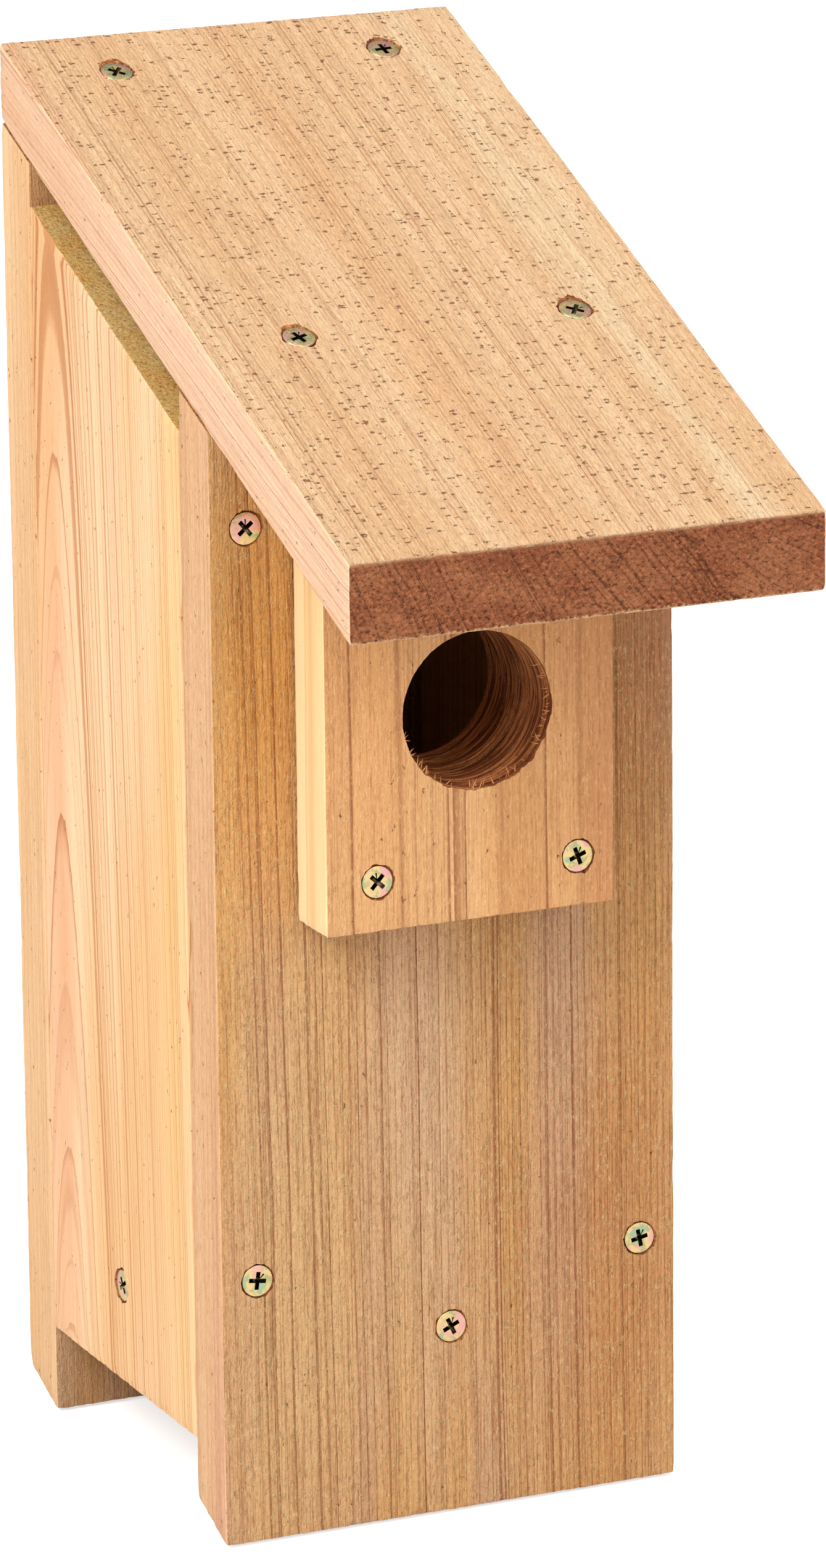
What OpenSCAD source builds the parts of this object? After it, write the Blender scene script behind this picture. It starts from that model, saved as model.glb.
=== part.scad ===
// Cedar nest box for small hole-nesting birds.
// Boards of one thickness are screwed together: a front and a back board hold two side panels
// and a floor between them, and a sloped roof covers all of it. A thick guard block deepens the
// entrance. The right-hand side panel is the clean-out door: it swings out on two pivot screws.
// +Z is up and -Y is the entrance side. The origin is the centre of the footprint at the base.

/* [Body] */
// Width across the front and back boards
body_w = 127; // [100:1:180]
// Depth from the front board's outer face to the back board's outer face
body_d = 135; // [110:1:200]
// Height of the front board's outer face
front_h = 290; // [230:1:400]
// Thickness of every board
board_t = 19; // [15:0.5:25]
// Radius of the eased long edges
edge_r = 2; // [0.5:0.5:4]

/* [Roof] */
// Slope of the roof in degrees
roof_pitch = 22.5; // [10:0.5:35]
// How far the roof reaches past the front board
roof_overhang = 85; // [40:1:120]

/* [Side panels] */
// Height of the side panels' bottom edge above the base
side_rise = 23.5; // [10:0.5:30]
// Upright gap between a side panel's top edge and the roof, for air
vent_gap = 11; // [6:0.5:16]

/* [Floor] */
// Height of the floor's underside above the base
floor_rise = 40.5; // [35:0.5:60]
// Cut-off at each corner of the floor, for drainage
drain_clip = 11; // [5:0.5:18]

/* [Entrance] */
// Diameter of the entrance hole
entrance_d = 40; // [26:0.5:50]
// Height of the hole's centre above the guard block's bottom edge
entrance_up = 54; // [45:1:60]
// Width of the guard block
guard_w = 79; // [72:1:86]
// Height of the guard block
guard_h = 117; // [112:1:140]
// Sideways offset of the guard block from the middle
guard_shift = -2; // [-4:0.5:4]
// Number of saw cuts below the hole inside, as a ladder for fledglings
ladder_cuts = 5; // [0:1:6]

/* [Clean-out door] */
// Running gap at each upright edge of the door
door_gap = 0.4; // [0.2:0.1:1]
// Radial clearance of the door's bores around the pivot screws
pivot_clear = 0.08; // [0.02:0.01:0.1]
// Height of the lock screw above the base
lock_z = 66; // [62:1:90]

/* [Screws] */
// Length of every screw
screw_len = 32; // [28:1:36]
// Diameter of the screw's shank
shank_d = 4.2; // [3:0.1:5]
// Diameter of the countersunk head
head_d = 8.4; // [7:0.1:9]
// Distance of the corner screws from the boards' side edges
edge_inset = 10; // [8:0.5:12]
// Distance of the upper corner screws below the front board's top edge
upper_drop = 25; // [20:1:40]
// Height of the left panel's lower screws above the base
lower_z = 70; // [64:1:90]
// Distance of the roof screws from the roof's side edges
roof_inset = 26; // [15:1:40]
// Distance of the guard's screws from the middle of the body, sideways
guard_screw_x = 27.5; // [26:0.5:30]
// Distance of the guard's screws from its top and bottom edges
guard_screw_inset = 13; // [8:0.5:15]

/* [Hidden] */
$fn = 64;

eps = 0.5;           // overrun of a cut past the face it opens
screw_fit = 0.05;    // clearance around a screw in its hole
floor_gap = 0.2;     // gap between the floor's edge and the closed door

rise = tan(roof_pitch);
y_roof_front = -(roof_overhang + body_d) / 2;
y_front = y_roof_front + roof_overhang;
y_back = y_front + body_d;
y_in_front = y_front + board_t;
y_in_back = y_back - board_t;
y_mid = (y_in_front + y_in_back) / 2;
x_in = body_w / 2 - board_t;
cavity_d = y_in_back - y_in_front;
roof_drop = board_t / cos(roof_pitch);
far = body_d + roof_overhang + front_h;

guard_bottom = roof_under(y_front - board_t) - 2 - guard_h;
entrance_z = guard_bottom + entrance_up;
upper_z = front_h - upper_drop;
floor_mid = floor_rise + board_t / 2;
corner_x = body_w / 2 - edge_inset;
roof_x = body_w / 2 - roof_inset;
lean = board_t * sin(roof_pitch);

cut_w = 3;           // saw cut of the ladder, along Z and into the board
cut_step = 14;
cut_span = 58;
lock_clear = 0.5;    // clearance of the lock screw's slot in the door

head_rim = 0.5;
head_cone = (head_d - shank_d) / 2;
tip_len = 6;
tip_r = 0.3;

cedar_front = "#c98a4c";
cedar_side = "#efd2a8";
cedar_back = "#d6a27a";
cedar_roof = "#e0b07a";
cedar_guard = "#e2b57c";
cedar_inner = "#c99a66";
yellow_zinc = "#b9a05a";

// A place is [position, rotation that turns +Z to the face's outward normal, turn of the recess].
to_front = [90, 0, 0];
to_back = [-90, 0, 0];
to_left = [0, -90, 0];
to_roof = [roof_pitch, 0, 0];

ROOF_FRONT = roof_places(y_front + board_t / 2, [20, -35]);
ROOF_BACK = roof_places(y_back - board_t / 2, [50, 5]);
GUARD_LOWER = guard_places(guard_bottom + guard_screw_inset, [48, 20]);
GUARD_UPPER = guard_places(guard_bottom + guard_h - guard_screw_inset, [10, -30]);
LEFT_FRONT = [
    [[-corner_x, y_front, upper_z], to_front, 40],
    [[-corner_x, y_front, lower_z], to_front, -8]
];
LEFT_BACK = [
    [[-corner_x, y_back, upper_z], to_back, 15],
    [[-corner_x, y_back, lower_z], to_back, 30]
];
FLOOR_FRONT = [[[0, y_front, floor_mid], to_front, 25]];
FLOOR_BACK = [[[0, y_back, floor_mid], to_back, -20]];
FLOOR_LEFT = [[[-body_w / 2, y_mid, floor_mid], to_left, 35]];
DOOR_FRONT = [[[corner_x, y_front, upper_z], to_front, -15]];
DOOR_BACK = [[[corner_x, y_back, upper_z], to_back, 40]];
DOOR_LOCK = [[[corner_x, y_front, lock_z], to_front, 12]];

// Height of the roof's underside at a depth y
function roof_under(y) = front_h + (y - y_front) * rise;

// Roof screws stand square to the roof and aim at the middle of a board's top edge
function roof_places(y_aim, turns) = [
    for (i = [0, 1])
        let (y = y_aim - lean)
        [[(2 * i - 1) * roof_x, y, roof_under(y) + roof_drop], to_roof, turns[i]]
];

function guard_places(z, turns) = [
    for (i = [0, 1])
        [[(2 * i - 1) * guard_screw_x, y_front - board_t, z], to_front, turns[i]]
];

// Half outline of a screw: head up, its top at z = head_top, grown by clear on every side
function screw_outline(clear, head_top) = [
    [0, head_top],
    [head_d / 2 + clear, head_top],
    [head_d / 2 + clear, -head_rim],
    [shank_d / 2 + clear, -head_rim - head_cone],
    [shank_d / 2 + clear, -screw_len + tip_len],
    [tip_r + clear, -screw_len - clear],
    [0, -screw_len - clear]
];

// Rectangle with four rounded corners, its lower left corner at the origin
module eased_rect(w, t) {
    translate([edge_r, 0]) square([w - 2 * edge_r, t]);
    translate([0, edge_r]) square([w, t - 2 * edge_r]);
    for (x = [edge_r, w - edge_r], y = [edge_r, t - edge_r])
        translate([x, y]) circle(r = edge_r);
}

// Outline in Y and Z, stretched along X across the whole body
module along_x(points) {
    translate([-body_w, 0, 0]) rotate([90, 0, 90]) linear_extrude(2 * body_w) polygon(points);
}

// Upright board from x0 to x1 and from y0 to y1, its ends cut by an outline in Y and Z
module upright(x0, x1, y0, y1, ends) {
    intersection() {
        translate([x0, y0, -eps]) linear_extrude(far) eased_rect(x1 - x0, y1 - y0);
        along_x(ends);
    }
}

// Ends of a board that are both cut to the slope of the roof
function sloped_ends(y0, y1, z_bottom) = [
    [y0, z_bottom],
    [y1, z_bottom + (y1 - y0) * rise],
    [y1, roof_under(y1)],
    [y0, roof_under(y0)]
];

// Ends of a side panel: level below, parallel to the roof above
function side_ends(y0, y1) = [
    [y0, side_rise],
    [y1, side_rise],
    [y1, roof_under(y1) - vent_gap],
    [y0, roof_under(y0) - vent_gap]
];

module place(p) {
    translate(p[0]) rotate(p[1]) rotate([0, 0, p[2]]) children();
}

// Cross recess in a screw's head: two crossed wings over a short cone
module cross_recess() {
    wing_l = head_d * 0.56;
    wing_w = head_d * 0.13;
    for (a = [0, 90]) rotate([0, 0, a])
        translate([-wing_l / 2, -wing_w / 2, -1.3]) cube([wing_l, wing_w, 2]);
    translate([0, 0, -2.2]) cylinder(r1 = 0.3, r2 = head_d * 0.15, h = 2.4, $fn = 32);
}

module screw() {
    difference() {
        rotate_extrude() polygon(screw_outline(0, 0));
        cross_recess();
    }
}

module screws(places) {
    color(yellow_zinc) for (p = places) place(p) screw();
}

// The holes that a set of screws needs, a little larger than the screws
module screw_holes(places, clear = screw_fit) {
    for (p = places) place(p) rotate_extrude() polygon(screw_outline(clear, eps));
}

module entrance_bore() {
    translate([0, y_front - board_t - eps, entrance_z]) rotate([-90, 0, 0])
        cylinder(d = entrance_d, h = 2 * (board_t + eps), $fn = 96);
}

module ladder() {
    top_cut = entrance_z - entrance_d / 2 - cut_step;
    for (i = [0 : 1 : ladder_cuts - 1])
        translate([-cut_span / 2, y_in_front - cut_w, top_cut - i * cut_step])
            cube([cut_span, cut_w + eps, cut_w]);
}

module front_board() {
    color(cedar_front) difference() {
        upright(-body_w / 2, body_w / 2, y_front, y_in_front, sloped_ends(y_front, y_in_front, 0));
        entrance_bore();
        ladder();
        screw_holes(ROOF_FRONT);
        screw_holes(GUARD_LOWER);
        screw_holes(GUARD_UPPER);
        screw_holes(LEFT_FRONT);
        screw_holes(FLOOR_FRONT);
        screw_holes(DOOR_FRONT);
        screw_holes(DOOR_LOCK);
    }
}

module back_board() {
    color(cedar_back) difference() {
        upright(-body_w / 2, body_w / 2, y_in_back, y_back, sloped_ends(y_in_back, y_back, 0));
        screw_holes(ROOF_BACK);
        screw_holes(LEFT_BACK);
        screw_holes(FLOOR_BACK);
        screw_holes(DOOR_BACK);
    }
}

module left_side_panel() {
    color(cedar_side) difference() {
        upright(-body_w / 2, -x_in, y_in_front, y_in_back, side_ends(y_in_front, y_in_back));
        screw_holes(LEFT_FRONT);
        screw_holes(LEFT_BACK);
        screw_holes(FLOOR_LEFT);
    }
}

// Slot, open to the inside, that lets the door swing off the lock screw's shank
module lock_slot() {
    slot_h = shank_d + 2 * lock_clear;
    slot_d = screw_len - board_t + 1;
    translate([corner_x, y_in_front - eps, lock_z]) {
        rotate([-90, 0, 0]) cylinder(d = slot_h, h = slot_d + eps);
        translate([-board_t, 0, -slot_h / 2]) cube([board_t, slot_d + eps, slot_h]);
    }
}

module clean_out_door() {
    y0 = y_in_front + door_gap;
    y1 = y_in_back - door_gap;
    color(cedar_side) difference() {
        upright(x_in, body_w / 2, y0, y1, side_ends(y0, y1));
        screw_holes(DOOR_FRONT, pivot_clear);
        screw_holes(DOOR_BACK, pivot_clear);
        lock_slot();
    }
}

module floor_board() {
    w = 2 * x_in - floor_gap;
    c = drain_clip;
    color(cedar_inner) difference() {
        translate([-x_in, y_in_front, floor_rise]) linear_extrude(board_t) polygon([
            [c, 0], [w - c, 0], [w, c], [w, cavity_d - c],
            [w - c, cavity_d], [c, cavity_d], [0, cavity_d - c], [0, c]
        ]);
        screw_holes(FLOOR_FRONT);
        screw_holes(FLOOR_BACK);
        screw_holes(FLOOR_LEFT);
    }
}

module roof_board() {
    color(cedar_roof) difference() {
        intersection() {
            translate([-body_w / 2, y_front, front_h]) rotate([roof_pitch - 90, 0, 0])
                translate([0, -board_t, -far / 2]) linear_extrude(far) eased_rect(body_w, board_t);
            translate([-body_w, y_roof_front, 0])
                cube([2 * body_w, y_back - y_roof_front, 2 * far]);
        }
        screw_holes(ROOF_FRONT);
        screw_holes(ROOF_BACK);
    }
}

module entrance_guard() {
    x0 = guard_shift - guard_w / 2;
    y0 = y_front - board_t;
    color(cedar_guard) difference() {
        translate([x0, y0, guard_bottom]) linear_extrude(guard_h) eased_rect(guard_w, board_t);
        entrance_bore();
        screw_holes(GUARD_LOWER);
        screw_holes(GUARD_UPPER);
    }
}

front_board();
back_board();
left_side_panel();
clean_out_door();
floor_board();
roof_board();
entrance_guard();
screws(ROOF_FRONT);  // roof_front_screws
screws(ROOF_BACK);  // roof_back_screws
screws(GUARD_LOWER);  // guard_lower_screws
screws(GUARD_UPPER);  // guard_upper_screws
screws(LEFT_FRONT);  // left_panel_front_screws
screws(LEFT_BACK);  // left_panel_back_screws
screws(FLOOR_FRONT);  // floor_front_screw
screws(FLOOR_BACK);  // floor_back_screw
screws(FLOOR_LEFT);  // floor_left_screw
screws(DOOR_FRONT);  // door_front_pivot_screw
screws(DOOR_BACK);  // door_back_pivot_screw
screws(DOOR_LOCK);  // door_lock_screw
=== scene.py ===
"""Looks for the cedar nest box: rough-sawn boards, a bored entrance and yellow-zinc screws."""

import math

import bmesh
import bpy
import numpy as np
from mathutils import Euler, Matrix, Vector


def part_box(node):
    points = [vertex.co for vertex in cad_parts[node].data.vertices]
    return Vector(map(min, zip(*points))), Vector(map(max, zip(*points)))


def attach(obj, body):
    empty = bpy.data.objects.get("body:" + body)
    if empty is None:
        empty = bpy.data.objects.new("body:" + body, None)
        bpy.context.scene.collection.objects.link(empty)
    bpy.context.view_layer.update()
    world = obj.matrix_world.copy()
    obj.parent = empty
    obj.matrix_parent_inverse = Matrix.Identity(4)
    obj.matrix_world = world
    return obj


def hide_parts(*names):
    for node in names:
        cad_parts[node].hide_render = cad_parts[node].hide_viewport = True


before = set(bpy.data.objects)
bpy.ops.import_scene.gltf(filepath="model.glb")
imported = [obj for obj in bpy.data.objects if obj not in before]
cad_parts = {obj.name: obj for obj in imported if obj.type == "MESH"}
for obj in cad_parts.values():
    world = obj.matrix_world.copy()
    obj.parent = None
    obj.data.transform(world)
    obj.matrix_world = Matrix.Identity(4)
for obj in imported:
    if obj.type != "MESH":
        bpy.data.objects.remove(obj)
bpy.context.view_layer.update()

MM = 0.001

# ---- the frame's sizes, in millimetres


def node_box(node):
    """Lowest and highest corner of a CAD node, in millimetres."""
    low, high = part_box(node)
    return np.array(low) / MM, np.array(high) / MM


FRONT, BACK = node_box("front_board"), node_box("back_board")
LEFT, DOOR = node_box("left_side_panel"), node_box("clean_out_door")
FLOOR, ROOF, GUARD = node_box("floor_board"), node_box("roof_board"), node_box("entrance_guard")

BODY_W = FRONT[1][0] - FRONT[0][0]
BOARD_T = FRONT[1][1] - FRONT[0][1]
# Both boards are highest at their rear faces; the line between those points gives the slope
RISE = (BACK[1][2] - FRONT[1][2]) / (BACK[1][1] - FRONT[1][1])
PITCH = math.atan(RISE)

EDGE_R = 1.3  # radius of the eased long edges on a board's planed inner face
CRISP_R = 0.7  # and on its sawn outer face
END_R = 0.5  # radius at a cut end
ENTRANCE_R = 20.0  # radius of the entrance
ENTRANCE_UP = 54.0  # from the guard's bottom edge to the middle of the hole
DRAIN_CLIP = 11.0  # reach of the floor's clipped corners along both edges
# The ladder of saw cuts inside the front board: width and depth, pitch, length and number
CUT_W, CUT_STEP, CUT_SPAN, CUT_COUNT = 3.0, 14.0, 58.0, 5
ENTRANCE_Z = GUARD[0][2] + ENTRANCE_UP

HEAD_R = 4.2  # radii of a screw's head, its shank and the core of its thread
SHANK_R = 2.1
CORE_R = 1.45
SCREW_LEN = 32.0
HEAD_RIM = 0.5  # height of the head's upright rim
TIP_LEN = 6.0
THREAD_PITCH = 2.6
BORE_R = 2.18  # the door's bores around its pivot screws
SLOT_R = 2.6  # the door's slot for the lock screw

# ---- studio values

FILL = 0.37  # strength of the world on the object
FLOOR_GLOW = 0.62  # light that the floor shows to the camera only
KEY_POWER = 58.0  # powers of the lamps in watts
TOP_POWER = 29.0
FRONT_POWER = 25.0

VIEW_AZIMUTH, VIEW_ELEVATION, VIEW_ROLL = 24.082, 14.961, -0.616  # degrees
VIEW_DISTANCE = 2.0315  # metres
VIEW_LENS, VIEW_SENSOR = 122.31, 24.0  # focal length and sensor height in millimetres
VIEW_AIM = (2.11, 0.31, 187.29)  # millimetres

# ---- noise

# Large whole numbers that scramble a lattice point
HASH_X, HASH_Y, HASH_Z, HASH_SEED = 374761393, 668265263, 2147483647, 974634777
HASH_STIR, HASH_FOLD = 1274126177, 2246822519
BITS_32, BITS_24 = 0xFFFFFFFF, 0xFFFFFF


def lattice(ix, iy, iz, seed):
    """A fixed pseudo-random value in 0..1 for every whole-number point."""
    h = (ix * HASH_X + iy * HASH_Y + iz * HASH_Z + seed * HASH_SEED) & BITS_32
    h = ((h ^ (h >> 13)) * HASH_STIR) & BITS_32
    h = ((h ^ (h >> 16)) * HASH_FOLD) & BITS_32
    return ((h ^ (h >> 15)) & BITS_24) / float(BITS_24)


def share(fraction, far):
    """Weight of a cell's far side, or of its near side when far is 0."""
    return fraction if far else 1 - fraction


def noise(points, scale, seed):
    """Smooth value noise in -1..1 at points (n, 3); scale is cells per millimetre on each axis."""
    p = points * np.asarray(scale, float)
    cell = np.floor(p).astype(np.int64)
    f = p - cell
    f = f * f * (3 - 2 * f)
    total = np.zeros(len(p))
    for far in np.ndindex(2, 2, 2):
        weight = share(f[:, 0], far[0]) * share(f[:, 1], far[1]) * share(f[:, 2], far[2])
        x, y, z = (cell + far).T
        total += weight * lattice(x, y, z, seed)
    return 2 * total - 1


# ---- meshes

CORNER_STATIONS = 5  # lattice stations on each rounded corner
TINY = 1e-9
# Zones of a board: its two broad faces, its cut ends and its long narrow edges
FACE_ZONE, END_ZONE, EDGE_ZONE = 0, 1, 2

# Wear of a board: cells per millimetre across, through and along the grain, then depths in millimetres
SAW_FIBRES, FIBRE_DEPTH = (1.1, 1.1, 0.07), 0.16
SAW_FUZZ, FUZZ_DEPTH = (1.6, 1.6, 0.45), 0.14
LONG_WAVES, WAVE_DEPTH = (0.03, 0.03, 0.02), 0.08
EDGE_WEAR, WEAR_DEPTH = (0.12, 0.12, 0.05), 0.08
EDGE_CHIPS, CHIP_DEPTH = (0.3, 0.3, 0.11), 0.4
CHIP_FLOOR = 0.45  # noise below this makes no chip
END_FRAY, FRAY_DEPTH = (0.9, 0.9, 0.2), 0.25
END_DEPTH = 0.1  # what every cut end loses
WEAR_REACH = 3.0  # how far wear goes from a long edge
FRAY_REACH = 1.5  # and from a cut end
NICK_STRETCH = 0.4  # under 1, so nicks are longer along the grain


def link(made):
    bpy.context.scene.collection.objects.link(made)


def new_piece(name, verts_mm, faces, materials, face_slots=None, smooth=True):
    """A Blender object from points in millimetres, with its materials."""
    mesh = bpy.data.meshes.new(name)
    mesh.from_pydata((np.asarray(verts_mm) * MM).tolist(), [], faces)
    for material in materials:
        mesh.materials.append(material)
    if face_slots is not None:
        mesh.polygons.foreach_set("material_index", np.asarray(face_slots, dtype=np.int32))
    mesh.polygons.foreach_set("use_smooth", [smooth] * len(mesh.polygons))
    mesh.update()
    piece = bpy.data.objects.new(name, mesh)
    link(piece)
    return piece


def samples(length, step, radius):
    """Stations from 0 to length: close together within radius of both ends, then every step."""
    near = radius * (1 - np.cos(np.linspace(0, math.pi / 2, CORNER_STATIONS)))[:-1]
    count = max(2, int(round((length - 2 * radius) / step)))
    middle = np.linspace(radius, length - radius, count + 1)
    return np.concatenate([near, middle, (length - near)[::-1]])


def round_corners(u, v, w, t, outer_r, inner_r):
    """Moves points of a w by t rectangle so that its corners become arcs; v = 0 is the outer face."""
    radius = np.where(v < t / 2, outer_r, inner_r)
    cu, cv = np.clip(u, radius, w - radius), np.clip(v, radius, t - radius)
    du, dv = u - cu, v - cv
    reach = np.hypot(du, dv)
    square = np.maximum(np.abs(du), np.abs(dv))
    k = np.where(reach > TINY, square / np.maximum(reach, TINY), 1.0)
    return cu + du * k, cv + dv * k


def quads(grid, flip):
    """Quads between neighbours in an index grid."""
    a, b, c, d = grid[:-1, :-1], grid[1:, :-1], grid[1:, 1:], grid[:-1, 1:]
    q = np.stack([a, b, c, d], -1).reshape(-1, 4)
    return q[:, ::-1] if flip else q


def end_inset(s, length):
    """How far a board's skin draws in near its cut ends, which rounds their rims."""
    near_end = np.minimum(s, length - s)
    arc = END_R - np.sqrt(np.maximum(0, END_R**2 - (END_R - near_end)**2))
    return np.where(near_end < END_R, arc, 0)


def board_grid(w, t, length, step_w, step_t, step_l, outer_r):
    """Surface lattice of a board: points (n, 3) as across, through, along; quads; each quad's zone."""
    us = samples(w, step_w, outer_r)
    vs = samples(t, step_t, outer_r)
    ss = samples(length, step_l, END_R)
    skin = np.zeros((len(us), len(vs), len(ss)), dtype=bool)
    skin[[0, -1]] = skin[:, [0, -1]] = skin[:, :, [0, -1]] = True
    index = -np.ones(skin.shape, dtype=np.int64)
    index[skin] = np.arange(skin.sum())
    i, j, k = np.nonzero(skin)
    u, v = round_corners(us[i], vs[j], w, t, outer_r, EDGE_R)
    s = ss[k]
    inset = end_inset(s, length)
    u = w / 2 + (u - w / 2) * (1 - inset / (w / 2))
    v = t / 2 + (v - t / 2) * (1 - inset / (t / 2))
    parts = [(quads(index[:, 0, :], False), FACE_ZONE),
             (quads(index[:, -1, :], True), FACE_ZONE),
             (quads(index[:, :, 0], True), END_ZONE),
             (quads(index[:, :, -1], False), END_ZONE),
             (quads(index[0], True), EDGE_ZONE),
             (quads(index[-1], False), EDGE_ZONE)]
    faces = np.concatenate([part for part, _ in parts])
    zones = np.concatenate([np.full(len(part), zone, dtype=np.int32) for part, zone in parts])
    return np.stack([u, v, s], 1), faces, zones


def mesh_vectors(mesh):
    """The points of a mesh, in metres, and its normals."""
    n = len(mesh.vertices)
    co = np.empty(n * 3)
    mesh.vertices.foreach_get("co", co)
    normals = np.empty(n * 3, dtype=np.float32)
    mesh.vertex_normals.foreach_get("vector", normals)
    return co.reshape(-1, 3), normals.reshape(-1, 3)


def wear_depth(p, size, rough, seed):
    """How deep saw marks, dents and worn edges are at lattice points, in millimetres."""
    w, t, length = size
    edge_u = np.minimum(p[:, 0], w - p[:, 0])
    edge_v = np.minimum(p[:, 1], t - p[:, 1])
    near_end = np.minimum(p[:, 2], length - p[:, 2])
    corner = np.exp(-(np.hypot(edge_u, edge_v) / WEAR_REACH)**2)
    end = np.exp(-(near_end / FRAY_REACH)**2)
    fibres = 0.5 + 0.5 * noise(p, SAW_FIBRES, seed)
    fuzz = 0.5 + 0.5 * noise(p, SAW_FUZZ, seed + 1)
    waves = 0.5 + 0.5 * noise(p, LONG_WAVES, seed + 2)
    wear = np.clip(noise(p, EDGE_WEAR, seed + 3), 0, 1)
    chips = np.clip(noise(p, EDGE_CHIPS, seed + 4) - CHIP_FLOOR, 0, 1)
    frayed = np.clip(noise(p, END_FRAY, seed + 5), 0, 1)
    depth = rough * (FIBRE_DEPTH * fibres + FUZZ_DEPTH * fuzz) + WAVE_DEPTH * waves
    depth += corner * (WEAR_DEPTH * wear + CHIP_DEPTH * chips) + end * (FRAY_DEPTH * frayed + END_DEPTH)
    return depth


def weather(piece, lattice_pts, size, rough, seed, nicks):
    """Presses saw marks, dents, worn edges and nicks into a board, never outwards.

    A nick is its place across, through and along the board, its radius and its depth.
    """
    co, normals = mesh_vectors(piece.data)
    depth = wear_depth(lattice_pts, size, rough, seed)
    u, v, s = lattice_pts.T
    for nick_u, nick_v, nick_s, radius, deep in nicks:
        far = np.hypot(np.hypot(u - nick_u, v - nick_v), (s - nick_s) * NICK_STRETCH)
        depth += deep * np.exp(-(far / radius)**2)
    co -= normals * (depth * MM)[:, None]
    piece.data.vertices.foreach_set("co", co.ravel())
    piece.data.update()


def cut(piece, cutters):
    """Takes the cutters out of the piece; a cut face keeps its cutter's material."""
    bpy.ops.object.select_all(action="DESELECT")
    tool = join(cutters)
    step = piece.modifiers.new("cut", "BOOLEAN")
    step.operation = "DIFFERENCE"
    step.solver = "EXACT"
    step.material_mode = "TRANSFER"
    step.object = tool
    bpy.context.view_layer.objects.active = piece
    bpy.ops.object.modifier_apply(modifier=step.name)
    bpy.data.objects.remove(tool, do_unlink=True)


def join(pieces):
    """Joins the pieces into the first one."""
    if len(pieces) > 1:
        with bpy.context.temp_override(active_object=pieces[0], selected_editable_objects=pieces):
            bpy.ops.object.join()
    return pieces[0]


def rings_mesh(rings):
    """Points and faces of a closed form from rings of equal count, with a point at each end."""
    count = len(rings[0])
    verts = np.concatenate(rings + [np.mean(rings[0], 0)[None], np.mean(rings[-1], 0)[None]])
    faces = []
    for r in range(len(rings) - 1):
        for i in range(count):
            a, b = r * count + i, r * count + (i + 1) % count
            faces.append((a, b, b + count, a + count))
    first, last = len(rings) * count, len(rings) * count + 1
    base = (len(rings) - 1) * count
    for i in range(count):
        faces.append((first, (i + 1) % count, i))
        faces.append((last, base + i, base + (i + 1) % count))
    return verts, faces


def ring_piece(name, rings, materials, smooth=True):
    """Closed piece from rings of points, with its faces turned outwards."""
    verts, faces = rings_mesh(rings)
    piece = new_piece(name, verts, faces, materials, smooth=smooth)
    bm = bmesh.new()
    bm.from_mesh(piece.data)
    bmesh.ops.recalc_face_normals(bm, faces=bm.faces)
    bm.to_mesh(piece.data)
    bm.free()
    return piece


# ---- material nodes

# Socket numbers of a Mix node in its colour mode
MIX_FACTOR, MIX_A, MIX_B, MIX_RESULT = 0, 6, 7, 2

NOISE_MEAN = (0.5, 0.5, 0.5)

# Stretch of the noise fields in a board, in cells per millimetre across, through and along the grain
RING_DRIFT = (0.022, 0.022, 0.0045)
WASH_SWAY = (0.06, 0.06, 0.008)
BANDS = (0.03, 0.03, 0.003)
BLUSH = (0.042, 0.042, 0.003)
STREAKS = (1.9, 1.9, 0.03)
FUZZ = (1.7, 1.7, 0.42)
GRIT = (1.7, 1.7, 1.1)
BUMPS = (1.15, 1.15, 0.7)
END_BANDS = (0.05, 0.09, 0.05)
END_GRIT = (0.95, 1.25, 0.95)
END_TORN = (0.4, 0.6, 0.4)

# Shifts in millimetres that keep two fields of the same kind apart
BLUSH_ASIDE, GRIT_ASIDE, BUMPS_ASIDE, PATCH_ASIDE = (310, 170, 90), (57, 23, 11), (11, 47, 5), (40, 13, 71)

UNEVEN_EVERY, UNEVEN_BY = 0.45, 1.1  # how often ring widths change, and by how many rings
FAINTEST_RING = 0.3  # late wood of the palest ring
RING_TINT = 0.16  # how much a ring's own tint shows
SWAY = (30, 30, 60)  # how far washes wander, in millimetres

# Heights of a sawn face's parts, as shares of its relief
FUZZ_HEIGHT, STREAK_HEIGHT, BUMP_HEIGHT, PIT_DIP = 1.1, 0.3, 0.22, 0.6
LATE_DIP, LATE_DIP_SAWN = 0.08, 0.15
RELIEF, RELIEF_SAWN = 0.12, 1.5  # relief of a planed face, and what sawing adds, in millimetres


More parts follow.
